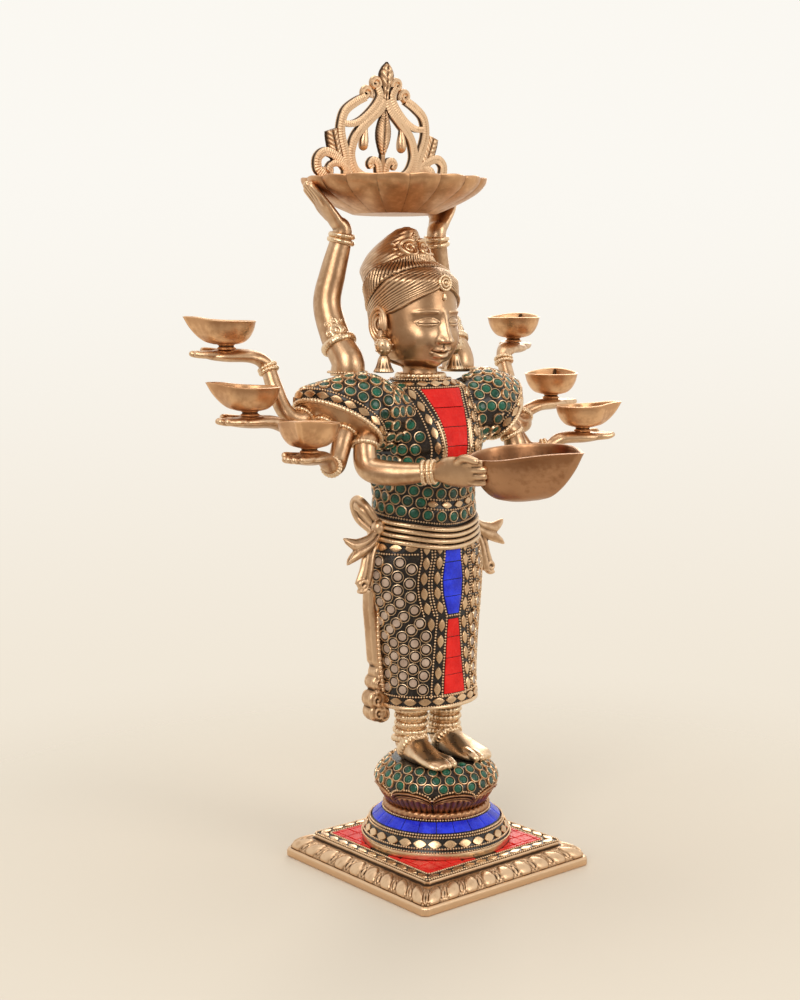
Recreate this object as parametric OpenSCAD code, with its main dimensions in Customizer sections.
// Many-armed lamp bearer in antique brass with stone inlay.
// The figure faces -Y, its right hand side is -X, and the stand rests on Z = 0.

/* [Plinth] */
// Width of the square plinth across its foot
plinth_w = 156; // [150:1:180]
// Height of the plain square edge
plinth_edge = 6.5; // [4:0.5:8]
// Width of the square platform on top
platform_w = 126.6; // [122:0.2:132]
// Height of the plinth up to the platform
plinth_h = 17; // [15:0.5:24]
// Wall of the hollow plinth casting
plinth_wall = 3; // [2:0.5:4]
// Size of one coral tile
tile_size = 10; // [8:1:14]
// Thickness of the coral tiles
tile_t = 1.4; // [1:0.1:2]

/* [Collar] */
// Gap between the beaded border of the platform and the collar
collar_gap = 2.6; // [1:0.1:5]
// Height of the collar
collar_h = 25; // [22:0.5:30]
// How far the chip band slopes inwards above the flange
flange_run = 5.7; // [4:0.1:7]
// How far the blue band slopes inwards above the chip band
band_run = 9.6; // [8:0.1:10]
// Number of blue tiles round the band
band_tiles = 22; // [16:1:30]

/* [Lotus] */
// Radius of the lotus seat at its widest
lotus_r = 43; // [42:0.5:46]
// Height of the lotus seat
lotus_h = 35; // [32:0.5:40]
// Radius of the flat top that the feet stand on
lotus_top_r = 33; // [30:0.5:35]
// Number of green stones in one row round the lotus
lotus_stone_count = 26; // [20:1:28]

/* [Figure] */
// Height of the legs that show below the hem
leg_h = 41; // [38:1:48]
// Height of the skirt from its hem to the waist
skirt_h = 137; // [128:1:150]
// Width of the skirt at its hem
hem_w = 76; // [70:1:84]
// Width of the skirt at the hips
hip_w = 94; // [88:1:100]
// Width of the figure at the waist
waist_w = 78; // [74:1:84]
// Depth of the skirt, front to back
skirt_d = 60; // [56:1:66]
// Height of the torso from the waist to the collarbone
torso_h = 92; // [88:1:102]
// Width of the torso between the two sleeves
shoulder_w = 76; // [72:1:80]
// How far the bust stands forward of the chest
bust = 7; // [3:0.5:9]
// Radius of the neck
neck_r = 12.5; // [11:0.5:14]
// Width of the head
head_w = 58; // [54:1:62]
// Height of the head from the chin to the hair knot
head_h = 62; // [58:1:68]
// Height of the hair knot
knot_h = 34; // [30:1:40]

/* [Arms] */
// Radius of the tenon at the root of each arm
tenon_r = 5; // [4:0.25:5.5]
// Length of the tenons
tenon_len = 9; // [7:0.5:11]
// Half width of an open palm
palm_half_w = 10; // [9:0.5:11]
// Half thickness of an open palm
palm_half_t = 4.6; // [4.4:0.1:5.5]

/* [Lamps] */
// Radius of the round part of a small lamp
lamp_r = 20; // [17:0.5:21]
// Distance from a small lamp's centre to the tip of its spout
lamp_tip = 29; // [25:0.5:31]
// Depth of a small lamp
lamp_h = 15; // [13:0.5:18]
// Wall of all the lamps
lamp_wall = 1.6; // [1.2:0.1:2.2]
// Height of the foot under a small lamp
lamp_foot_h = 3.6; // [3:0.1:5]
// Radius of the foot under a small lamp
lamp_foot_r = 6; // [5:0.25:7]
// Radius of the spigot that plugs into the palm
spigot_r = 2.6; // [2:0.1:3]
// Length of the spigot
spigot_len = 5.5; // [4:0.25:6]
// Radius of the round part of the front lamp
front_lamp_r = 34; // [31:0.5:35]
// Distance from the front lamp's centre to the tip of its spout
front_lamp_tip = 58; // [52:1:62]
// Depth of the front lamp
front_lamp_h = 30; // [27:0.5:33]
// Lean of the front lamp towards the right hand, in degrees
front_lamp_roll = 6; // [0:0.5:8]
// Radius of the fluted dish above the head
dish_r = 66; // [64:0.5:67]
// Depth of the fluted dish
dish_h = 24; // [22:0.5:27]
// Number of flutes round the dish
flutes = 18; // [12:1:24]
// Height of the pierced flame plate above the dish
flame_h = 82; // [76:1:90]
// Thickness of the flame plate
flame_t = 5; // [4:0.5:7]

/* [Fasteners] */
// Radius of the two tie studs
stud_r = 3; // [2.5:0.1:3.5]
// Width of the nuts across their flats
nut_w = 10; // [9:0.5:11]
// Thickness of the nuts
nut_t = 4; // [3:0.25:5]
// Radial clearance of every fit
fit_gap = 0.06; // [0.03:0.01:0.1]
// Gap where two castings are brazed face to face
braze_gap = 0.2; // [0.1:0.05:0.3]

/* [Hidden] */
$fn = 48;

brass = "#b08a55";
bright_brass = "#d0b07a";
dark_lac = "#2a2420";
coral = "#d8302c";
lapis = "#2630b4";
emerald = "#0c6a50";
taupe = "#8a7460";

// Levels of the stacked castings, from the floor up
collar_z = plinth_h;
lotus_z = collar_z + collar_h;
foot_z = lotus_z + lotus_h;
hem_z = foot_z + leg_h;
waist_z = hem_z + skirt_h;
neck_z = waist_z + torso_h;
chin_z = neck_z + 8;
knot_z = chin_z + head_h;

// Wall left round the cores of the stand and of the body
stand_wall = 6;
core_r = 19;

// Where the figure stands on the lotus, and the two legs
figure_y = 8;
leg_x = 16;
leg_y = figure_y + 1;
leg_tenon_r = 6;

// Vector helpers
function unit(v) = v / norm(v);
function smooth(u) = u * u * (3 - 2 * u);
function bell(x, w) = exp(-(x / w) * (x / w));

// A smooth curve through the rows of a list, at parameter s from 0 to len - 1
function curve(rows, s) =
  let(
    last = len(rows) - 1,
    i = max(0, min(floor(s), last - 1)),
    u = s - i,
    b = rows[i],
    c = rows[i + 1],
    a = i > 0 ? rows[i - 1] : 2 * b - c,
    d = i + 2 <= last ? rows[i + 2] : 2 * c - b
  )
  0.5 * (2 * b + (c - a) * u + (2 * a - 5 * b + 4 * c - d) * u * u + (3 * b - a - 3 * c + d) * u * u * u);

// A closed solid through a list of rings that all have the same number of points
module loft(rings) {
  m = len(rings[0]);
  n = len(rings);
  walls = [
    for (i = [0 : n - 2], j = [0 : m - 1])
      let(k = (j + 1) % m, p = i * m, q = p + m)
      each [[p + j, q + j, q + k], [p + j, q + k, p + k]]
  ];
  first_cap = [[for (j = [0 : m - 1]) j]];
  last_cap = [[for (j = [m - 1 : -1 : 0]) (n - 1) * m + j]];
  polyhedron(points = [for (r = rings) each r], faces = concat(first_cap, walls, last_cap), convexity = 8);
}

// A band through rings that close on themselves
module hoop(rings) {
  m = len(rings[0]);
  n = len(rings);
  polyhedron(
    points = [for (r = rings) each r],
    faces = [
      for (i = [0 : n - 1], j = [0 : m - 1])
        let(k = (j + 1) % m, p = i * m, q = ((i + 1) % n) * m)
        each [[p + j, q + j, q + k], [p + j, q + k, p + k]]
    ],
    convexity = 8
  );
}

// Stands a child on a surface point, with its Z along the surface normal
module seat(p, normal, spin = 0) {
  translate(p) rotate([0, acos(normal[2]), atan2(normal[1], normal[0])]) rotate([0, 0, spin]) children();
}

// An almond shape of that length and width
module almond(length, width, t) {
  r = (length * length + width * width) / (4 * width);
  intersection() {
    translate([0, r - width / 2, 0]) cylinder(r = r, h = t);
    translate([0, width / 2 - r, 0]) cylinder(r = r, h = t);
  }
}

// Round collet that holds a stone
module collet(r, t, wall) {
  difference() {
    cylinder(r = r + wall, h = t);
    translate([0, 0, -1]) cylinder(r = r + fit_gap, h = t + 2);
  }
}

// Plinth

border_wire = 1.4;
border_in = platform_w / 2 - 8;
chip_l = 9;
chip_w = 4.4;
chip_t = 1.2;
border_mid = (platform_w / 2 + border_in) / 2;

function square_ring(half, z) = [[half, half, z], [-half, half, z], [-half, -half, z], [half, -half, z]];

module plinth() {
  moulding_steps = 5;
  step_z = plinth_h - 3;
  moulding_out = plinth_w / 2 - 2;
  moulding_in = platform_w / 2 + 1.5;
  color(brass) difference() {
    loft(concat(
      [square_ring(plinth_w / 2, 0), square_ring(plinth_w / 2, plinth_edge)],
      [
        for (i = [0 : moulding_steps])
          let(u = 90 * i / moulding_steps)
          square_ring(
            moulding_in + (moulding_out - moulding_in) * cos(u),
            plinth_edge + (step_z - plinth_edge) * sin(u)
          )
      ],
      [square_ring(platform_w / 2, step_z), square_ring(platform_w / 2, plinth_h)]
    ));
    translate([-platform_w / 2 + plinth_wall, -platform_w / 2 + plinth_wall, -1])
      cube([platform_w - 2 * plinth_wall, platform_w - 2 * plinth_wall, plinth_h - plinth_wall + 1]);
    stud_holes(plinth_h);
  }
}

module stud_places() {
  for (side = [-1, 1]) translate([side * leg_x, leg_y, 0]) children();
}

module stud_holes(top) {
  stud_places() translate([0, 0, -1]) cylinder(r = stud_r + fit_gap, h = top + 2);
}

module plinth_tiles() {
  field = border_in - border_wire - 0.3;
  cells = ceil(field / tile_size);
  joint = 0.25;
  smallest = 2;
  keep_out = collar_r + 0.3;
  color(coral) for (i = [-cells : cells - 1], j = [-cells : cells - 1]) {
    x0 = max(i * tile_size, -field) + joint;
    x1 = min((i + 1) * tile_size, field) - joint;
    y0 = max(j * tile_size, -field) + joint;
    y1 = min((j + 1) * tile_size, field) - joint;
    reach = norm([max(abs(x0), abs(x1)), max(abs(y0), abs(y1))]);
    if (x1 - x0 > smallest && y1 - y0 > smallest && reach > keep_out + smallest)
      difference() {
        translate([x0, y0, plinth_h]) cube([x1 - x0, y1 - y0, tile_t]);
        translate([0, 0, plinth_h - 1]) cylinder(r = keep_out, h = tile_t + 2, $fn = 96);
      }
  }
}

module plinth_chips() {
  per_side = floor(2 * border_mid / (chip_l + 1.6));
  pitch = 2 * border_mid / per_side;
  color(bright_brass) for (side = [0 : 3], i = [0 : per_side - 1])
    rotate([0, 0, 90 * side])
      translate([(i + 0.5) * pitch - border_mid, -border_mid, plinth_h]) almond(chip_l, chip_w, chip_t);
}

// Plain wires under the beading of the stand
module bead_wires() {
  color(bright_brass) {
    for (half = [platform_w / 2, border_in]) translate([0, 0, plinth_h]) difference() {
      translate([-half, -half, 0]) cube([2 * half, 2 * half, border_wire]);
      translate([border_wire - half, border_wire - half, -1])
        cube([2 * (half - border_wire), 2 * (half - border_wire), border_wire + 2]);
    }
    for (row = [[collar_r, flange_h], [band_low_r, band_low_h], [band_high_r, collar_h]])
      translate([0, 0, collar_z + row[1]]) rotate_extrude($fn = 96)
        translate([row[0] + wire_r - wire_sink, 0]) circle(r = wire_r);
    translate([0, 0, lotus_z + wave_h]) rotate_extrude($fn = 96)
      translate([lotus_wall(wave_h) + wire_r - wire_sink, 0]) circle(r = wire_r);
  }
}

// Collar

collar_r = border_in - collar_gap;
band_low_r = collar_r - flange_run;
band_high_r = band_low_r - band_run;
wire_r = 0.8;
wire_sink = 0.15;
flange_h = 6.5;
band_low_h = collar_h - 8;

module collar() {
  color(brass) difference() {
    translate([0, 0, collar_z]) rotate_extrude($fn = 96) polygon([
      [0, 0], [collar_r - 0.8, 0], [collar_r, 1.5], [collar_r, flange_h],
      [band_low_r, band_low_h], [band_high_r, collar_h], [0, collar_h]
    ]);
    translate([0, 0, collar_z - 1]) cylinder(r = band_high_r - stand_wall, h = collar_h - stand_wall + 1);
    stud_holes(lotus_z);
  }
}

// A round wall tile between two radii and heights of a sloping band
module band_tile(low, high, t, sweep) {
  slope = unit([low[0] - high[0], high[1] - low[1]]);
  out = [slope[1], slope[0]] * t;
  rotate_extrude(angle = sweep, $fn = 96) polygon([low, low + out, high + out, high]);
}

module collar_tiles() {
  pitch = 360 / band_tiles;
  joint = 0.6;
  inset = 1.9;
  run = unit([band_high_r - band_low_r, collar_h - band_low_h]) * inset;
  color(lapis) for (i = [0 : band_tiles - 1])
    rotate([0, 0, i * pitch + joint / 2]) translate([0, 0, collar_z])
      band_tile([band_low_r, band_low_h] + run, [band_high_r, collar_h] - run, 0.7, pitch - joint);
}

module collar_chips() {
  count = floor(PI * (collar_r + band_low_r) / (chip_l + 1.4));
  mid = [(collar_r + band_low_r) / 2, (flange_h + band_low_h) / 2];
  tilt = atan2(band_low_h - flange_h, collar_r - band_low_r);
  color(bright_brass) for (i = [0 : count - 1])
    rotate([0, 0, i * 360 / count]) translate([mid[0], 0, collar_z + mid[1]]) rotate([0, 90 - tilt, 0])
      rotate([0, 0, 90]) translate([0, 0, -0.3]) almond(chip_l, chip_w + 1, chip_t);
}

// Lotus seat

wave_h = 16;
rope_h = 4.5;
rope_r = band_high_r + 0.4;
lotus_neck_r = rope_r - 3.4;
lotus_widest_h = 22;
gem_r = 3;
gem_t = 2.2;
collet_wall = 0.8;

// Outside radius of the lotus at a height above its seat
function lotus_wall(h) =
  h < lotus_widest_h
    ? lotus_neck_r + (lotus_r - lotus_neck_r) * sin(90 * (h - rope_h) / (lotus_widest_h - rope_h))
    : lotus_top_r + (lotus_r - lotus_top_r) * cos(90 * (h - lotus_widest_h) / (lotus_h - lotus_widest_h));

module lotus() {
  color(brass) difference() {
    translate([0, 0, lotus_z]) rotate_extrude($fn = 96) polygon(concat(
      [[0, 0], [rope_r - 1, 0]],
      [for (u = [-60 : 30 : 60]) [rope_r - 1.6 + 1.6 * cos(u), rope_h / 2 + rope_h / 2 * sin(u)]],
      [for (h = [rope_h : 2.5 : lotus_h - 0.5]) [lotus_wall(h), h]],
      [[lotus_top_r, lotus_h], [0, lotus_h]]
    ));
    translate([0, 0, lotus_z - 1]) cylinder(r = lotus_neck_r - stand_wall, h = lotus_h - stand_wall + 1);
    stud_holes(foot_z);
  }
}

// Places of the two rows of stones round the lotus
module lotus_stone_places() {
  step = 0.5;
  for (row = [0, 1], i = [0 : lotus_stone_count - 1]) {
    h = lotus_widest_h - 1 + row * 6.5;
    rise = lotus_wall(h + step) - lotus_wall(h - step);
    lean = atan2(2 * step, -rise);
    rotate([0, 0, (i + row / 2) * 360 / lotus_stone_count])
      translate([lotus_wall(h), 0, lotus_z + h]) rotate([0, lean, 0]) children();
  }
}

module lotus_stones() {
  color(emerald) lotus_stone_places() translate([0, 0, -0.8]) cylinder(r = gem_r, h = gem_t);
}

module lotus_collets() {
  color(bright_brass) lotus_stone_places() translate([0, 0, -0.8]) collet(gem_r, 1.9, collet_wall);
}

// Tie studs, nuts and washers

stud_rise = 18;
washer_t = 1.2;
nut_top = plinth_h - plinth_wall - washer_t;

module tie_studs() {
  color(brass) stud_places() translate([0, 0, nut_top - nut_t - 2])
    cylinder(r = stud_r, h = foot_z + stud_rise - nut_top + nut_t + 2);
}

module tie_nuts() {
  color(brass) stud_places() translate([0, 0, nut_top - nut_t]) difference() {
    cylinder(d = nut_w / cos(30), h = nut_t, $fn = 6);
    translate([0, 0, -1]) cylinder(r = stud_r + fit_gap, h = nut_t + 2);
  }
}

module tie_washers() {
  color(brass) stud_places() translate([0, 0, nut_top]) difference() {
    cylinder(d = nut_w + 3, h = washer_t);
    translate([0, 0, -1]) cylinder(r = stud_r + fit_gap, h = washer_t + 2);
  }
}

// Feet and anklets

// Rows along a foot from the hem to the toes: x, y, z, half width, half thickness
foot_rows = [
  [leg_x, leg_y, hem_z - braze_gap / 2, 10.5, 10.5],
  [leg_x, leg_y, foot_z + 26, 9.3, 9.8],
  [leg_x, leg_y + 2, foot_z + 14, 9.6, 12],
  [leg_x + 0.5, leg_y - 8, foot_z + 7, 10.5, 10],
  [leg_x + 1.5, leg_y - 22, foot_z + 4.5, 12, 6],
  [leg_x + 2, leg_y - 34, foot_z + 3, 11.5, 4],
  [leg_x + 2, leg_y - 41, foot_z + 2.2, 7, 2.6]
];
foot_steps = 12;
foot_sides = 16;

// Rings across a row list, flat side along the normal, kept above a floor
function limb_rings(rows, flat, steps, sides, floor_z) =
  [
    for (i = [0 : steps])
      let(
        last = len(rows) - 1,
        s = last * i / steps,
        here = curve(rows, s),
        ahead = curve(rows, min(s + 0.02, last)),
        behind = curve(rows, max(s - 0.02, 0)),
        run = unit([for (k = [0 : 2]) ahead[k] - behind[k]]),
        up = unit(flat - run * (flat * run)),
        across = cross(up, run)
      )
      [
        for (j = [0 : sides - 1])
          let(
            t = 360 * j / sides,
            p = [here[0], here[1], here[2]] + across * here[3] * cos(t) + up * here[4] * sin(t)
          )
          [p[0], p[1], max(p[2], floor_z)]
      ]
  ];

module left_foot() {
  color(brass) difference() {
    union() {
      loft(limb_rings(foot_rows, [0, -1, 0.35], foot_steps, foot_sides, foot_z));
      translate([leg_x, leg_y, hem_z - 3]) cylinder(r = leg_tenon_r, h = 3 + tenon_len);
    }
    translate([leg_x, leg_y, foot_z - 1]) cylinder(r = stud_r + fit_gap, h = stud_rise + 2);
  }
}

module right_foot() {
  mirror([1, 0, 0]) left_foot();
}

anklet_heights = [15, 22, 29, 35];

module anklets() {
  color(bright_brass) for (side = [-1, 1], h = anklet_heights) {
    s = curve_at_height(foot_rows, foot_z + h);
    here = curve(foot_rows, s);
    translate([side * here[0], here[1], foot_z + h]) rotate_extrude()
      translate([max(here[3], here[4]) + 0.5, 0]) circle(r = 1.3, $fn = 16);
  }
}

// Parameter of a falling curve at a height, found by bisection
function curve_at_height(rows, z, low = 0, high = 2, n = 12) =
  let(mid = (low + high) / 2)
  n == 0 ? mid
  : curve(rows, mid)[2] > z ? curve_at_height(rows, z, mid, high, n - 1)
  : curve_at_height(rows, z, low, mid, n - 1);

// Skirt

// Rows up the skirt: height above the hem, centre y, half width, half depth
skirt_rows = [
  [0, figure_y, hem_w / 2, skirt_d / 2 - 2],
  [skirt_h * 0.15, figure_y + 0.5, hem_w / 2 - 1, skirt_d / 2 - 3],
  [skirt_h * 0.35, figure_y + 2, hem_w / 2 + 2.5, skirt_d / 2 - 2.5],
  [skirt_h * 0.69, figure_y + 6, hip_w / 2, skirt_d / 2 + 1],
  [skirt_h * 0.9, figure_y + 6, waist_w / 2 + 2, skirt_d / 2 + 1],
  [skirt_h, figure_y + 6, waist_w / 2, skirt_d / 2 + 1]
];
skirt_steps = 10;
body_sides = 36;
waist_spigot_r = 16;

// A surface point of a stack of ellipses, at curve parameter s and angle t
function body_point(rows, base, s, t) =
  let(r = curve(rows, s))
  [r[2] * cos(t), r[1] + r[3] * sin(t), base + r[0]];

function body_normal(rows, base, s, t) =
  let(
    ds = 0.05,
    dt = 1,
    up = body_point(rows, base, s + ds, t) - body_point(rows, base, s - ds, t),
    round = body_point(rows, base, s, t + dt) - body_point(rows, base, s, t - dt)
  )
  unit(cross(round, up));

function body_rings(rows, base, steps) =
  let(last = len(rows) - 1)
  [for (i = [0 : steps]) [for (j = [0 : body_sides - 1])
    body_point(rows, base, last * i / steps, 360 * j / body_sides)]];

module skirt() {
  color(brass) difference() {
    loft(body_rings(skirt_rows, hem_z, skirt_steps));
    translate([0, torso_y, waist_z - tenon_len - 1])
      cylinder(r = waist_spigot_r + fit_gap, h = tenon_len + 2);
    translate([0, figure_y + 3, hem_z + tenon_len + stand_wall])
      cylinder(r = core_r, h = skirt_h - 2 * (tenon_len + stand_wall));
    translate([0, torso_y, waist_z - tenon_len - stand_wall - 1])
      cylinder(r = waist_spigot_r - 4, h = stand_wall + 2);
    for (side = [-1, 1])
      translate([side * leg_x, leg_y, hem_z - 1]) cylinder(r = leg_tenon_r + fit_gap, h = tenon_len + 2);
  }
}

// Curve parameter of a height above the base, for a list of rows whose first entry is the height
function row_at(rows, h, i = 0) =
  i >= len(rows) - 2 || h < rows[i + 1][0] ? i + (h - rows[i][0]) / (rows[i + 1][0] - rows[i][0])
  : row_at(rows, h, i + 1);

front = -90;
disc_r = 3.2;
disc_rows = 9;

// Staggered discs on both sides of the skirt
module skirt_disc_places() {
  pitch = skirt_h * 0.62 / disc_rows;
  for (side = [-1, 1], i = [0 : disc_rows - 1], k = [0 : 2]) {
    h = 14 + i * pitch + (k % 2) * pitch / 2;
    t = front + side * (44 + 17 * k);
    s = row_at(skirt_rows, h);
    seat(body_point(skirt_rows, hem_z, s, t), body_normal(skirt_rows, hem_z, s, t)) children();
  }
}

module skirt_discs() {
  color(taupe) skirt_disc_places() translate([0, 0, -1]) cylinder(r = disc_r, h = 2);
}

module skirt_collets() {
  color(bright_brass) skirt_disc_places() translate([0, 0, -1]) collet(disc_r, 1.9, collet_wall);
}

// A tile between a lower and an upper row of surface points, standing out from the surface by t
module curved_tile(low, high, t) {
  sink = [0, 0.8, 0];
  out = [0, -t, 0];
  loft([for (i = [0 : len(low) - 1]) [low[i] + out, low[i] + sink, high[i] + sink, high[i] + out]]);
}

// Shares across a tile, from one side to the other
across = [-1 : 1 / 3 : 1];

module panel_tile(low, high, half_low, half_high, t) {
  curved_tile(
    [for (u = across) panel_point(low, half_low * u)],
    [for (u = across) panel_point(high, half_high * u)],
    t
  );
}

// A point on the skirt's front at a height and a distance sideways
function panel_point(h, x) =
  let(
    s = row_at(skirt_rows, h),
    r = curve(skirt_rows, s),
    t = front + asin(x / r[2])
  )
  body_point(skirt_rows, hem_z, s, t);

blue_low = skirt_h * 0.48;
blue_high = skirt_h * 0.82;
red_low = skirt_h * 0.07;
red_high = blue_low - 3;
grout = 0.5;

function blue_half(u) = 4.6 + 3.4 * sin(180 * min(1, u * 1.15)) + 1.5 * u;
function red_half(u) = 9.2 - 4.8 * u;

module skirt_blue_tiles() {
  rows = 4;
  color(lapis) for (i = [0 : rows - 1])
    panel_tile(
      blue_low + (blue_high - blue_low) * i / rows + grout,
      blue_low + (blue_high - blue_low) * (i + 1) / rows,
      blue_half(i / rows), blue_half((i + 1) / rows), 0.9
    );
}

module skirt_red_tiles() {
  rows = 4;
  color(coral) for (i = [0 : rows - 1])
    panel_tile(
      red_low + (red_high - red_low) * i / rows + grout,
      red_low + (red_high - red_low) * (i + 1) / rows,
      red_half(i / rows), red_half((i + 1) / rows), 0.9
    );
}

// Almond chips beside the front panels and round the hem
module skirt_chips() {
  per_column = 8;
  color(bright_brass) {
    for (side = [-1, 1], i = [0 : per_column - 1]) {
      h = red_low + 4 + (blue_high - red_low - 8) * i / (per_column - 1);
      x = side * (i < per_column / 2 ? red_half(0.2) + 5.5 : blue_half(0.5) + 6);
      s = row_at(skirt_rows, h);
      t = front + asin(x / curve(skirt_rows, s)[2]);
      seat(body_point(skirt_rows, hem_z, s, t), body_normal(skirt_rows, hem_z, s, t))
        translate([0, 0, -0.4]) almond(chip_l, chip_w, 1.3);
    }
    for (t = [front - 90 : 18 : front + 90]) {
      s = row_at(skirt_rows, 5);
      seat(body_point(skirt_rows, hem_z, s, t), body_normal(skirt_rows, hem_z, s, t), 90)
        translate([0, 0, -0.4]) almond(chip_l - 1, chip_w, 1.3);
    }
  }
}

belt_bands = 3;
belt_t = 2.2;
belt_w = 4;
belt_dip = 5;

// Bands round the hips that dip towards the front
module hip_belt() {
  color(brass) for (b = [0 : belt_bands - 1]) {
    level = skirt_h - 2.6 - b * (belt_w + 0.4);
    hoop([
      for (j = [0 : body_sides - 1])
        let(
          t = 360 * j / body_sides,
          h = level - belt_dip * (1 - sin(t)) / 2,
          low = belt_point(h - belt_w / 2, t, 0),
          high = belt_point(h + belt_w / 2, t, 0)
        )
        [
          low + belt_out(t) * braze_gap, high + belt_out(t) * braze_gap,
          high + belt_out(t) * (belt_t - 0.6), low + belt_out(t) * belt_t
        ]
    ]);
  }
}

function belt_out(t) = [cos(t), sin(t), 0];
function belt_point(h, t, out) =
  body_point(skirt_rows, hem_z, row_at(skirt_rows, min(h, skirt_h)), t) + belt_out(t) * out;

// Side pleat: a flat scalloped fin that runs down beside the skirt
pleat_t = 10;
pleat_y = figure_y + 10;
pleat_drop = 12;
pleat_top = skirt_h * 0.6;

// Centre and radius of each scallop at the foot of the pleat, from its inner edge and the hem
scallops = [[5, 16.4, 5.5], [6.5, 5, 6.5], [5.5, -pleat_drop * 0.3, 7], [2, 6 - pleat_drop, 6]];

module left_side_pleat() {
  inner = hem_w / 2 - 1.5;
  color(brass) translate([0, pleat_y + pleat_t / 2, hem_z]) rotate([90, 0, 0]) linear_extrude(pleat_t) {
    polygon([
      [inner, scallops[0][1]], [inner + 8, scallops[0][1]],
      [hip_w / 2 + 2, pleat_top], [hip_w / 2 - 5, pleat_top]
    ]);
    for (p = scallops) translate([inner + p[0], p[1]]) circle(r = p[2]);
  }
}

module right_side_pleat() {
  mirror([1, 0, 0]) left_side_pleat();
}

// Sash: a looped bow and two hanging tails tied at the hip
sash_z = waist_z - 8;
sash_x = waist_w / 2 + 5;

// A ribbon along rows of x, y, z, half width, half thickness
module ribbon(rows, flat) {
  loft(limb_rings(rows, flat, 10, 10, 0));
}

module left_sash() {
  color(brass) union() {
    translate([sash_x - 1, figure_y + 4, sash_z - 2]) sphere(r = 5.5);
    ribbon([
      [sash_x - 1, figure_y + 4, sash_z - 2, 4, 2.2],
      [sash_x + 6, figure_y + 11, sash_z + 11, 5, 2.2],
      [sash_x + 6, figure_y + 20, sash_z + 14, 5.5, 2.4],
      [sash_x + 3, figure_y + 19, sash_z + 4, 5, 2.2],
      [sash_x - 1, figure_y + 8, sash_z - 5, 4, 2.2]
    ], [0.9, -0.3, 0.3]);
    ribbon([
      [sash_x - 1, figure_y + 4, sash_z - 4, 4, 2.5],
      [sash_x + 7, figure_y + 2.5, sash_z - 10.5, 5.2, 2.6],
      [sash_x + 18, figure_y + 2, sash_z - 14.5, 7, 2.8],
      [sash_x + 30, figure_y + 2, sash_z - 15.5, 9.6, 2.6]
    ], [0, -1, 0.15]);
    ribbon([
      [sash_x + 1, figure_y + 4, sash_z - 8, 4, 2.5],
      [sash_x + 8.5, figure_y + 2.5, sash_z - 20, 5, 2.6],
      [sash_x + 11.5, figure_y + 2, sash_z - 31, 5.6, 2.8],
      [sash_x + 15, figure_y + 2, sash_z - 41, 6.4, 2.6]
    ], [0.2, -1, 0]);
  }
}

module right_sash() {
  mirror([1, 0, 0]) left_sash();
}

// Torso and sleeves

torso_y = figure_y + 6;
torso_half = shoulder_w / 2;
neck_y = figure_y + 10;
neck_seat_r = neck_r + 6.5;

// Rows up the torso: height above the waist, centre y, half width, half depth
torso_rows = [
  [0, torso_y, waist_w / 2, skirt_d / 2 + 1],
  [torso_h * 0.1, torso_y, waist_w / 2 - 0.5, skirt_d / 2],
  [torso_h * 0.28, torso_y, waist_w / 2 + 2, skirt_d / 2 + 1],
  [torso_h * 0.5, torso_y, waist_w / 2 + 7, skirt_d / 2 + 1],
  [torso_h * 0.72, torso_y + 1, waist_w / 2 + 9, skirt_d / 2],
  [torso_h * 0.89, torso_y + 3, waist_w / 2 + 3, skirt_d / 2 - 6],
  [torso_h, neck_y, neck_seat_r, neck_seat_r]
];
torso_steps = 13;
bust_z = waist_z + torso_h * 0.5;
bust_x = 18;

// The torso is flat on both sides, where the sleeves are brazed on, and its front carries the bust
function torso_point(s, t) =
  let(
    p = body_point(torso_rows, waist_z, s, t),
    x = max(-torso_half, min(torso_half, p[0])),
    lift = sin(t) < 0 ? bust * bell(p[2] - bust_z, 17) * (bell(x - bust_x, 13) + bell(x + bust_x, 13)) : 0
  )
  [x, p[1] + lift * sin(t), p[2]];

module torso() {
  last = len(torso_rows) - 1;
  color(brass) difference() {
    union() {
      loft([for (i = [0 : torso_steps]) [for (j = [0 : body_sides - 1])
        torso_point(last * i / torso_steps, 360 * j / body_sides)]]);
      translate([0, torso_y, waist_z - tenon_len]) cylinder(r = waist_spigot_r, h = tenon_len + 3);
    }
    translate([0, neck_y, neck_z - tenon_len - 1]) cylinder(r = neck_r - 2 + fit_gap, h = tenon_len + 2);
    translate([0, torso_y, waist_z - tenon_len - 1])
      cylinder(r = waist_spigot_r - 4, h = tenon_len + stand_wall + 2);
    translate([0, torso_y, waist_z + stand_wall])
      cylinder(r = core_r, h = torso_h - tenon_len - 2 * stand_wall - 6);
    for (side = [-1, 1]) translate([side * torso_half, torso_y, sleeve_z]) rotate([0, -90 * side, 0])
      translate([0, 0, -1]) cylinder(r = sleeve_pin_r + fit_gap, h = tenon_len + 2);
  }
}

// Sleeve: one wide short sleeve a side, with all the lower arms leaving its slanting mouth
sleeve_z = neck_z - 25;
sleeve_pin_r = 8;
mouth = [torso_half + 38, torso_y + 1, neck_z - 29];
mouth_out = unit([0.70, -0.25, -0.67]);
mouth_long = unit(cross([0.413, -0.624, 0.664], mouth_out));
mouth_short = cross(mouth_out, mouth_long);
mouth_half_l = 32;
mouth_half_s = 19;

// Rows along a sleeve: centre, long half axis, short half axis
sleeve_rows = [
  concat([torso_half + braze_gap / 2, torso_y, sleeve_z], [0, 24, 0], [0, 0, 24]),
  concat([torso_half + 18, torso_y + 1, sleeve_z + 4], [6, 28, 4], [2, -5, 25]),
  concat(mouth - mouth_out * 7 + [0, 0, 3], mouth_long * 32, mouth_short * 22),
  concat(mouth, mouth_long * mouth_half_l, mouth_short * mouth_half_s)
];
sleeve_steps = 8;
sleeve_sides = 28;

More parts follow.
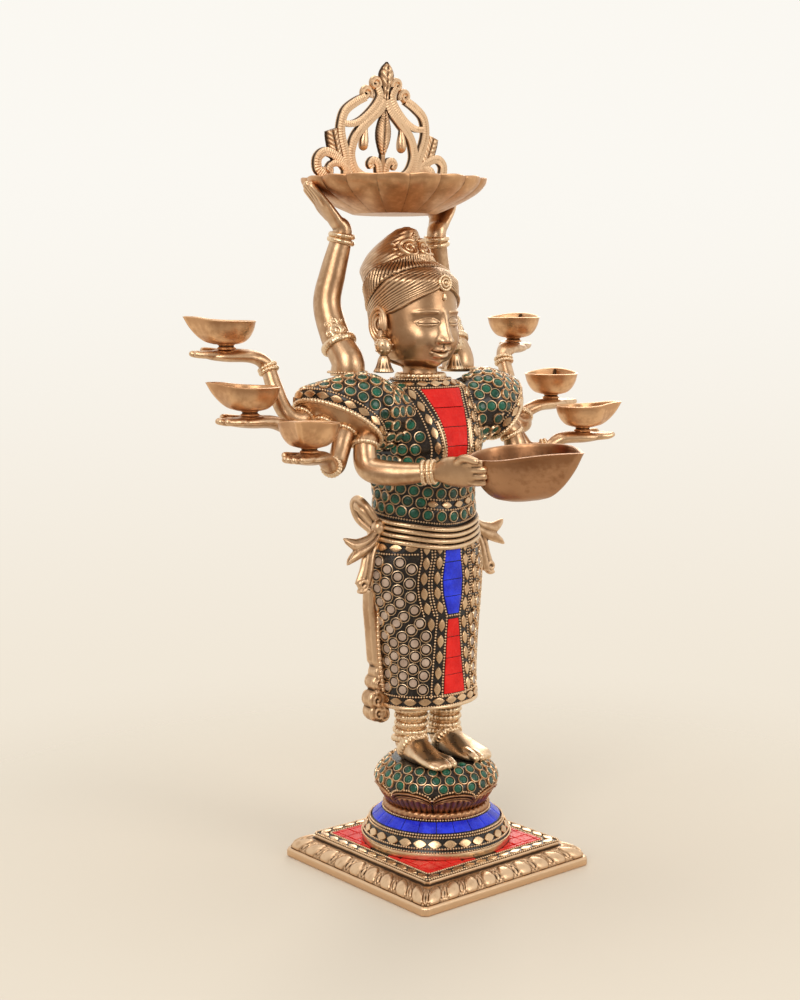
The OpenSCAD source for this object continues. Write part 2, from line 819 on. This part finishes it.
function sleeve_point(s, t) =
  let(r = curve(sleeve_rows, s))
  [for (k = [0 : 2]) r[k] + r[3 + k] * cos(t) + r[6 + k] * sin(t)];

function sleeve_normal(s, t) =
  let(
    ds = 0.04,
    dt = 1,
    along = sleeve_point(s + ds, t) - sleeve_point(s - ds, t),
    round = sleeve_point(s, t + dt) - sleeve_point(s, t - dt)
  )
  unit(cross(round, along));

// Where an arm leaves the mouth of the sleeve, at a distance along its long axis
function arm_root(along) = mouth + mouth_long * along + mouth_out * braze_gap;
top_root = arm_root(23.5);
middle_root = arm_root(7.5);
low_root = arm_root(-8);
front_root = arm_root(-23.5);
arm_r = 7;

// Raised arms start on a boss at the back of the shoulder
boss_r = 12.5;
boss_at = [torso_half + 13, torso_y + 22, neck_z + 5];
boss_drop = 24;

module left_sleeve() {
  last = len(sleeve_rows) - 1;
  color(brass) difference() {
    union() {
      loft([for (i = [0 : sleeve_steps]) [for (j = [0 : sleeve_sides - 1])
        sleeve_point(last * i / sleeve_steps, 360 * j / sleeve_sides)]]);
      translate([torso_half - tenon_len + 0.5, torso_y, sleeve_z]) rotate([0, 90, 0])
        cylinder(r = sleeve_pin_r, h = tenon_len + 3);
      translate(boss_at - [0, 0, boss_drop]) cylinder(r = boss_r, h = boss_drop);
    }
    for (root = [top_root, middle_root, low_root, front_root])
      seat(root - mouth_out * (tenon_len + 0.5), mouth_out)
        cylinder(r = tenon_r + fit_gap, h = tenon_len + 2);
    translate(boss_at - [0, 0, tenon_len + 0.5]) cylinder(r = tenon_r + fit_gap, h = tenon_len + 2);
  }
}

module right_sleeve() {
  mirror([1, 0, 0]) left_sleeve();
}

// Coral panel on the breast
breast_low = torso_h * 0.36;
breast_high = torso_h * 0.92;

function breast_point(h, x) =
  let(
    s = row_at(torso_rows, h),
    r = curve(torso_rows, s),
    t = front + asin(x / r[2])
  )
  torso_point(s, t);

function breast_half(u) = 8.5 + 9 * pow(u, 2.2);

module blouse_tiles() {
  rows = 4;
  rise = breast_high - breast_low;
  color(coral) for (i = [0 : rows - 1]) {
    low = breast_low + rise * i / rows + grout;
    high = breast_low + rise * (i + 1) / rows;
    curved_tile(
      [for (u = across) breast_point(low, breast_half(i / rows) * u)],
      [for (u = across) breast_point(high, breast_half((i + 1) / rows) * u)],
      1
    );
  }
}

// Stones on the sleeves, in staggered rows, and two rows round the waist
module blouse_stone_places() {
  for (side = [-1, 1]) mirror([side < 0 ? 1 : 0, 0, 0]) for (row = [0 : 4], k = [0 : 7]) {
    s = 0.55 + 0.48 * row;
    t = -28 + 26 * k + (row % 2) * 13;
    clear_of_boss = norm(sleeve_point(s, t) - boss_at) > boss_r + 9;
    clear_of_mouth = (mouth - sleeve_point(s, t)) * mouth_out > 10;
    clear_of_rows = row % 2 == 0 || t < 115;
    if (clear_of_boss && clear_of_mouth && clear_of_rows)
      seat(sleeve_point(s, t), sleeve_normal(s, t)) children();
  }
  for (row = [0, 1], k = [-6 : 6]) {
    h = 6 + row * 8;
    t = front + (k + row / 2) * 15.5;
    s = row_at(torso_rows, h);
    if (abs(t - front) < 105)
      seat(body_point(torso_rows, waist_z, s, t), body_normal(torso_rows, waist_z, s, t)) children();
  }
}

module blouse_stones() {
  color(emerald) blouse_stone_places() translate([0, 0, -0.9]) cylinder(r = gem_r, h = gem_t);
}

module blouse_collets() {
  color(bright_brass) blouse_stone_places() translate([0, 0, -0.9]) collet(gem_r, 2, collet_wall);
}

// Almond chips beside the coral panel and round the mouths of the sleeves
module blouse_chips() {
  per_column = 6;
  color(bright_brass) {
    for (side = [-1, 1], i = [0 : per_column - 1]) {
      u = i / (per_column - 1);
      h = breast_low + (breast_high - breast_low) * u;
      p = breast_point(h, side * (breast_half(u) + 6));
      q = breast_point(h + 1, side * (breast_half(u) + 6));
      r = breast_point(h, side * (breast_half(u) + 7));
      seat(p, unit(cross(r - p, q - p)) * side) translate([0, 0, -0.5]) almond(chip_l - 1, chip_w, 1.5);
    }
    for (side = [-1, 1]) mirror([side < 0 ? 1 : 0, 0, 0]) for (t = [0 : 24 : 336]) {
      s = len(sleeve_rows) - 1.22;
      seat(sleeve_point(s, t), sleeve_normal(s, t), 90)
        translate([0, 0, -0.5]) almond(chip_l - 1, chip_w, 1.5);
    }
  }
}

module necklace() {
  color(bright_brass) translate([0, neck_y, neck_z]) rotate_extrude() difference() {
    translate([neck_r + fit_gap + 3.2, 0]) circle(r = 3.1);
    translate([0, -5]) square([neck_seat_r + 5, 5]);
  }
}

// Head, hair knot and ornaments

head_y = figure_y + 17;

// Rows up the head: height above the neck seat, centre y, half width, half depth
head_rows = [
  [0, neck_y, neck_r, neck_r],
  [chin_z - neck_z, neck_y + 1, neck_r, neck_r + 1],
  [chin_z - neck_z + head_h * 0.08, head_y - 5, head_w * 0.39, 22],
  [chin_z - neck_z + head_h * 0.25, head_y - 3, head_w * 0.47, 29],
  [chin_z - neck_z + head_h * 0.5, head_y, head_w / 2, 33],
  [chin_z - neck_z + head_h * 0.75, head_y + 2, head_w * 0.5, 34],
  [knot_z - neck_z - 4, head_y + 4.5, head_w * 0.51, 35.5],
  [knot_z - neck_z, head_y + 8.5, head_w * 0.493, 34]
];
head_steps = 16;
head_sides = 28;

function head_point(s, t) = body_point(head_rows, neck_z, s, t);

module head() {
  last = len(head_rows) - 1;
  color(brass) union() {
    loft([for (i = [0 : head_steps]) [for (j = [0 : head_sides - 1])
      head_point(last * i / head_steps, 360 * j / head_sides)]]);
    translate([0, neck_y, neck_z - tenon_len]) cylinder(r = neck_r - 2, h = tenon_len + 3);
  }
}

// Rows up the hair knot: height, centre y, half width, half depth
knot_rows = [
  [0, head_y + 8.5, head_w * 0.493, 34],
  [knot_h * 0.09, head_y + 12, head_w * 0.474, 32.5],
  [knot_h * 0.23, head_y + 17, head_w * 0.4, 27],
  [knot_h * 0.43, head_y + 16.5, head_w * 0.345, 22.7],
  [knot_h * 0.6, head_y + 16, head_w * 0.26, 16.8],
  [knot_h * 0.8, head_y + 12, head_w * 0.172, 11.2],
  [knot_h * 0.91, head_y + 9, head_w * 0.112, 7.2],
  [knot_h, head_y + 8, head_w * 0.035, 2.2]
];

module hair_knot() {
  last = len(knot_rows) - 1;
  steps = 14;
  color(brass) loft([for (i = [0 : steps]) [for (j = [0 : head_sides - 1])
    body_point(knot_rows, knot_z, last * i / steps, 360 * j / head_sides)]]);
}

module forehead_jewel() {
  s = row_at(head_rows, chin_z - neck_z + head_h * 0.93);
  color(bright_brass) seat(head_point(s, front), body_normal(head_rows, neck_z, s, front))
    translate([0, 0, -1.5]) cylinder(r = 5, h = 4);
}

module ear_ornaments() {
  ear_h = chin_z - neck_z + head_h * 0.42;
  s = row_at(head_rows, ear_h);
  ear = head_point(s, 0);
  drop = 16;
  color(bright_brass) for (side = [-1, 1]) mirror([side < 0 ? 1 : 0, 0, 0]) {
    translate(ear + [2.5, 0, 0]) rotate([0, 90, 0]) translate([0, 0, -3.4]) cylinder(r = 8, h = 6);
    translate(ear + [3.5, -6, -drop]) rotate_extrude() polygon([
      [0, -11], [7.5, -10], [7, -4], [4, 0], [2.5, 2], [2.5, 10], [0, 10]
    ]);
  }
}

// Arms

arm_sides = 12;

// Rows of an arm from its root, by the given steps and radii, to the wrist, the palm and the finger tips
function open_arm(root, steps, wrist, palm) =
  let(
    run = unit([palm[0] - wrist[0], palm[1] - wrist[1], 0]),
    side_w = palm_half_w,
    thick = palm_half_t
  )
  concat(
    [concat(root, [arm_r, arm_r])],
    [for (v = steps) concat(root + [v[0], v[1], v[2]], [v[3], v[3]])],
    [
      concat(wrist, [5.3, 5]),
      concat(palm - run * 17 - [0, 0, 1], [side_w * 0.75, thick]),
      concat(palm, [side_w, thick]),
      concat(palm + run * 14, [side_w * 0.85, thick * 0.7]),
      concat(palm + run * 24, [side_w * 0.5, thick * 0.42])
    ]
  );

top_palm = [133, 62.5, neck_z + 17.2];
middle_palm = [139, 27, neck_z - 25];
low_palm = [125.5, -19.5, neck_z - 46.5];

// Steps of each arm away from its root, with the radius there, and the row that is its wrist
top_steps = [
  [3.5, -1.25, -3.35, 6.6], [8.8, -1, -4, 6], [13.2, 1, -1.5, 5.8],
  [16.1, 4.6, 4.4, 5.7], [18.2, 10.6, 17.5, 5.6]
];
middle_steps = [[4.9, -1.75, -4.7, 7], [12, -4.5, -11, 6.6], [20, -3.5, -11, 6]];
low_steps = [[4.9, -1.75, -4.7, 7], [11.5, -5, -16, 6.6], [18, -9.5, -23.5, 6]];
top_arm_rows = open_arm(top_root, top_steps, [110, 49.5, neck_z + 10.5], top_palm);
middle_arm_rows = open_arm(middle_root, middle_steps, [108, 24.5, neck_z - 31.5], middle_palm);
low_arm_rows = open_arm(low_root, low_steps, [101, -9, neck_z - 53.5], low_palm);

lamp_seat = palm_half_t - 0.9;

module open_hand_arm(rows, palm, flat) {
  color(brass) difference() {
    union() {
      loft(limb_rings(rows, flat, 2 * (len(rows) - 1), arm_sides, 0));
      root_tenon([rows[0][0], rows[0][1], rows[0][2]], mouth_out);
    }
    translate(palm + [0, 0, lamp_seat - spigot_len - 0.4])
      cylinder(r = spigot_r + fit_gap, h = spigot_len + 5);
    translate(palm + [0, 0, lamp_seat]) cylinder(r = lamp_foot_r + 0.4, h = 12);
  }
}

module root_tenon(root, out) {
  seat(root - out * tenon_len, out) cylinder(r = tenon_r, h = tenon_len + 4);
}

module top_arm_left() { open_hand_arm(top_arm_rows, top_palm, [-0.5, -0.4, 0.8]); }
module middle_arm_left() { open_hand_arm(middle_arm_rows, middle_palm, [0, 0, 1]); }
module low_arm_left() { open_hand_arm(low_arm_rows, low_palm, [0.2, -0.1, 1]); }
module top_arm_right() { mirror([1, 0, 0]) top_arm_left(); }
module middle_arm_right() { mirror([1, 0, 0]) middle_arm_left(); }
module low_arm_right() { mirror([1, 0, 0]) low_arm_left(); }

// Front arms carry the large lamp between them
front_lamp_at = [1.3, -83, neck_z - 76];
hand_share = 0.62;
hand_z = front_lamp_at[2] + front_lamp_h * hand_share;
hand_t = 3.6;
hand_x = front_lamp_r * 0.92 + hand_t + 0.3;

front_arm_rows = [
  concat(front_root, [arm_r, arm_r]),
  concat(front_root + mouth_out * 8, [arm_r + 0.5, arm_r + 0.5]),
  [69, -10, neck_z - 57, 8.5, 8.5],
  [60, -27, neck_z - 60, 8.2, 8.2],
  [hand_x + 9, -46, hand_z - 1, 6.4, 6],
  [hand_x + 4.5, -58, hand_z, 9, 4.6],
  [hand_x + 0.5, -72, hand_z, 10, hand_t],
  [hand_x - 1, -86, hand_z + 1, 9, hand_t * 0.8],
  [hand_x - 3.5, -94, hand_z + 1, 5, 1.8]
];

module front_arm_left() {
  color(brass) union() {
    loft(limb_rings(front_arm_rows, [1, 0, -0.3], 20, arm_sides, 0));
    root_tenon(front_root, mouth_out);
  }
}

module front_arm_right() { mirror([1, 0, 0]) front_arm_left(); }

// Raised arms hold the dish by its wall
dish_y = figure_y + 39;
dish_z = neck_z + 113.5;
dish_grip = 0.6;
grip_turn = 12;
grip_r = dish_r * dish_wall(dish_grip) + 3.2;
grip_x = grip_r * cos(grip_turn);
grip_y = dish_y + grip_r * sin(grip_turn);
grip_z = dish_z + dish_h * dish_grip;

raised_arm_rows = [
  concat(boss_at + [0, 0, braze_gap], [boss_r - 0.5, boss_r - 0.5]),
  concat(boss_at + [0, 0, 7], [11.4, 11.4]),
  concat(boss_at + [1.5, 11, 23], [10.4, 10.4]),
  concat(boss_at + [2, 20, 46], [9.8, 9.8]),
  concat(boss_at + [-2.5, 19, 68], [9, 9]),
  [grip_x - 17.5, grip_y - 9, grip_z - 28, 7.2, 7],
  [grip_x - 13.5, grip_y - 7, grip_z - 20, 8.5, 4.6],
  [grip_x - 6.5, grip_y - 3.5, grip_z - 10, 10.5, 3.8],
  [grip_x, grip_y, grip_z, 9, 2.6],
  [grip_x + 3, grip_y + 1.5, grip_z + 6, 5, 1.8]
];

module raised_arm_left() {
  color(brass) union() {
    loft(limb_rings(raised_arm_rows, [-0.75, -0.2, 0.66], 22, arm_sides + 4, 0));
    translate(boss_at - [0, 0, tenon_len]) cylinder(r = tenon_r, h = tenon_len + 6);
  }
}

module raised_arm_right() { mirror([1, 0, 0]) raised_arm_left(); }

// Bangles at the wrists and the armlets of the raised arms
function bangle_frame(rows, s) =
  let(
    here = curve(rows, s),
    ahead = curve(rows, s + 0.05),
    behind = curve(rows, s - 0.05)
  )
  [
    [here[0], here[1], here[2]],
    unit([for (k = [0 : 2]) ahead[k] - behind[k]]),
    max(here[3], here[4])
  ];

module bangle(rows, s, r) {
  f = bangle_frame(rows, s);
  seat(f[0], f[1]) rotate_extrude() translate([f[2] + r * 0.6, 0]) circle(r = r, $fn = 16);
}

module bangles() {
  color(bright_brass) for (side = [-1, 1]) mirror([side < 0 ? 1 : 0, 0, 0]) {
    for (rows = [top_arm_rows, middle_arm_rows, low_arm_rows]) bangle(rows, len(rows) - 5.15, 1.3);
    for (s = [3.85, 4.05]) bangle(front_arm_rows, s, 1.2);
    for (s = [4.75, 4.95]) bangle(raised_arm_rows, s, 1.3);
    bangle(raised_arm_rows, 1.7, 1.8);
  }
}

// Lamps

lamp_sides = 24;

// Outline radius of a lamp with a pointed spout along +X
function leaf_r(t, r, tip) =
  let(a = abs(t > 180 ? t - 360 : t), tangent = acos(r / tip))
  a < tangent ? r / cos(tangent - a) : r;

// Radius and height shares of the outer wall from the base to the rim
bowl_profile = [[0.38, 0], [0.62, 0.1], [0.8, 0.32], [0.93, 0.64], [1, 1]];

// Share of the rim radius that the dish has at a share of its depth
function dish_wall(u) = 0.45 + 0.55 * sin(90 * u);

function leaf_ring(r, tip, share, z, lift) =
  [for (j = [0 : lamp_sides - 1])
    let(t = 360 * j / lamp_sides, q = leaf_r(t, r, tip) * share, spout = pow((1 + cos(t)) / 2, 4))
    [q * cos(t), q * sin(t), z + lift * spout]];

// Bowl with a pointed spout: outer wall up to the rim, then the inner wall down to the floor
module leaf_bowl(r, tip, h, lift) {
  outer = [for (p = bowl_profile) leaf_ring(r, tip, p[0], h * p[1], lift * p[1])];
  inner = [
    for (i = [len(bowl_profile) - 1 : -1 : 0])
      let(p = bowl_profile[i], z = lamp_wall + (h - lamp_wall) * p[1])
      leaf_ring(r - lamp_wall, tip - 2 * lamp_wall, p[0], z, lift * p[1])
  ];
  loft(concat(outer, inner));
}

module small_lamp(palm, heading) {
  foot_base = lamp_seat + 0.1;
  color(brass) translate(palm) rotate([0, 0, heading]) union() {
    translate([0, 0, foot_base + lamp_foot_h]) leaf_bowl(lamp_r, lamp_tip, lamp_h, 3);
    translate([0, 0, foot_base]) cylinder(r = lamp_foot_r, h = lamp_foot_h + lamp_wall / 2);
    translate([0, 0, foot_base - spigot_len]) cylinder(r = spigot_r, h = spigot_len + 1);
  }
}

top_heading = 33;
middle_heading = 38;
low_heading = -38;

module top_lamp_left() { small_lamp(top_palm, top_heading); }
module middle_lamp_left() { small_lamp(middle_palm, middle_heading); }
module low_lamp_left() { small_lamp(low_palm, low_heading); }
module top_lamp_right() { mirror([1, 0, 0]) top_lamp_left(); }
module middle_lamp_right() { mirror([1, 0, 0]) middle_lamp_left(); }
module low_lamp_right() { mirror([1, 0, 0]) low_lamp_left(); }

module front_lamp() {
  grip = [0, 0, front_lamp_h * hand_share];
  color(brass) translate(front_lamp_at + grip) rotate([0, -front_lamp_roll, 0]) translate(-grip)
    rotate([0, 0, -90]) leaf_bowl(front_lamp_r, front_lamp_tip, front_lamp_h, 4);
}

// Fluted dish above the head
module dish() {
  sides = flutes * 4;
  steps = 6;
  scallop = 0.015;
  ring_at = function(u, inset)
    [for (j = [0 : sides - 1])
      let(
        t = 360 * j / sides,
        r = (dish_r * dish_wall(u) - inset) * (1 - scallop * u * pow(cos(flutes * t / 2), 2))
      )
      [r * cos(t), r * sin(t), inset * (1 - u) + dish_h * u]];
  color(brass) translate([0, dish_y, dish_z]) loft(concat(
    [for (i = [0 : steps]) ring_at(i / steps, 0)],
    [for (i = [steps : -1 : 0]) ring_at(i / steps, lamp_wall)]
  ));
}

// Pierced flame plate that stands across the dish and leans forward
flame_off = 15;
flame_lean = 5;
flame_foot_z = dish_z + lamp_wall + braze_gap;
flame_rim = dish_h - lamp_wall;
flame_foot_off = flame_off + tan(flame_lean) * flame_rim;
dish_floor_r = dish_r * dish_wall(0) - lamp_wall;
flame_foot = sqrt(pow(dish_floor_r - 1, 2) - pow(flame_foot_off + flame_t / 2, 2));

// Points of a smooth curve through rows, mirrored into a closed outline about the vertical axis
function traced(rows, n) = [for (i = [0 : n]) curve(rows, (len(rows) - 1) * i / n)];
function both_sides(points) =
  concat(points, [for (i = [len(points) - 1 : -1 : 0]) [-points[i][0], points[i][1]]]);

// Height on the plate, as a share of its height above the rim
function up(u) = flame_rim + flame_h * u;

// Outline of a band along rows of x, height share and half width
function band_side(p, i, sign) =
  let(
    a = p[max(i - 1, 0)],
    b = p[min(i + 1, len(p) - 1)],
    run = [b[0] - a[0], up(b[1]) - up(a[1])],
    away = sign * p[i][2] / norm(run)
  )
  [p[i][0] - run[1] * away, up(p[i][1]) + run[0] * away];

module flame_band(rows, n) {
  p = traced(rows, n);
  linear_extrude(flame_t) polygon(concat(
    [for (i = [0 : n]) band_side(p, i, 1)],
    [for (i = [n : -1 : 0]) band_side(p, i, -1)]
  ));
}

// Bands of one half: outer frame, inner frame, band between them, two bands of the volute, pendant, foot scroll
flame_bands = [
  [[31, -0.05, 3], [33, 0.18, 3], [37.5, 0.34, 2.9], [38.5, 0.44, 2.8], [35.5, 0.56, 2.8], [27, 0.64, 2.8],
    [18.5, 0.69, 2.8]],
  [[1, 0, 2.8], [14, 0.02, 2.8], [24, 0.075, 3], [28.5, 0.18, 3], [28, 0.28, 3], [23.6, 0.39, 3],
    [13, 0.51, 2.9], [4.5, 0.6, 2.8], [1, 0.68, 2.4]],
  [[8.5, 0.79, 2.4], [5.5, 0.72, 2.4], [8.2, 0.645, 2.4], [14.5, 0.56, 2.4], [21.5, 0.495, 2.4],
    [29, 0.46, 2.4], [37, 0.46, 2.2]],
  [[29, 0.04, 2.8], [39, 0.16, 2.8], [50, 0.215, 2.8], [57, 0.165, 2.8], [57, 0.075, 2.8], [51, 0.03, 2.6]],
  [[31, 0.09, 2.3], [41, 0.12, 2.3], [47.5, 0.085, 2.6]],
  [[21.5, 0.44, 1.6], [18, 0.37, 2.6], [17.3, 0.31, 3.6], [17.3, 0.275, 2.6]],
  [[2, 0, 1.6], [3.2, 0.07, 1.7], [6, 0.115, 1.7], [10, 0.12, 1.7]]
];

// Bands, rolled ends of the curls, rolled end of the volute and square side leaf of one half
module flame_half() {
  for (rows = flame_bands) flame_band(rows, 3 * len(rows));
  translate([17.5, up(0.72), 0]) cylinder(r = 5.4, h = flame_t);
  translate([9.8, up(0.81), 0]) cylinder(r = 5, h = flame_t);
  translate([48.5, up(0.075), 0]) cylinder(r = 4.2, h = flame_t);
  translate([43, up(0.255), 0]) rotate([0, 0, -18]) translate([-6.75, -9, 0]) cube([13.5, 18, flame_t]);
}

// Both halves with the foot, the strip below the rim, the top leaf, and the spindle leaf on its stem
module flame_sheet() {
  flame_half();
  mirror([1, 0, 0]) flame_half();
  translate([-flame_foot, 0, 0]) cube([2 * flame_foot, flame_rim - 2, flame_t]);
  translate([-dish_r * 0.74, flame_rim - 7, 0]) cube([dish_r * 1.48, 8, flame_t]);
  linear_extrude(flame_t) polygon(both_sides(traced([
    [2.6, up(0.6)], [2.8, up(0.76)], [4.6, up(0.83)], [7.6, up(0.885)], [6, up(0.935)],
    [3, up(0.975)], [0.2, up(1)]
  ], 18)));
  translate([0, up(0.39), 0]) intersection() {
    translate([15.2, 0, 0]) cylinder(r = 22, h = flame_t);
    translate([-15.2, 0, 0]) cylinder(r = 22, h = flame_t);
  }
  translate([-2, up(0.05), 0]) cube([4, flame_h * 0.18, flame_t]);
}

module flame_plate() {
  color(brass) translate([0, dish_y + flame_foot_off, flame_foot_z + sin(flame_lean) * flame_t / 2])
    rotate([90 + flame_lean, 0, 0]) translate([0, 0, -flame_t / 2]) flame_sheet();
}

plinth();
plinth_tiles();
plinth_chips();
bead_wires();
collar();
collar_tiles();
collar_chips();
lotus();
lotus_stones();
lotus_collets();
tie_studs();
tie_nuts();
tie_washers();
right_foot();
left_foot();
anklets();
skirt();
skirt_discs();
skirt_collets();
skirt_blue_tiles();
skirt_red_tiles();
skirt_chips();
hip_belt();
right_side_pleat();
left_side_pleat();
right_sash();
left_sash();
torso();
right_sleeve();
left_sleeve();
blouse_tiles();
blouse_stones();
blouse_collets();
blouse_chips();
necklace();
head();
hair_knot();
forehead_jewel();
ear_ornaments();
raised_arm_right();
raised_arm_left();
top_arm_right();
top_arm_left();
middle_arm_right();
middle_arm_left();
low_arm_right();
low_arm_left();
front_arm_right();
front_arm_left();
bangles();
dish();
flame_plate();
front_lamp();
top_lamp_right();
top_lamp_left();
middle_lamp_right();
middle_lamp_left();
low_lamp_right();
low_lamp_left();
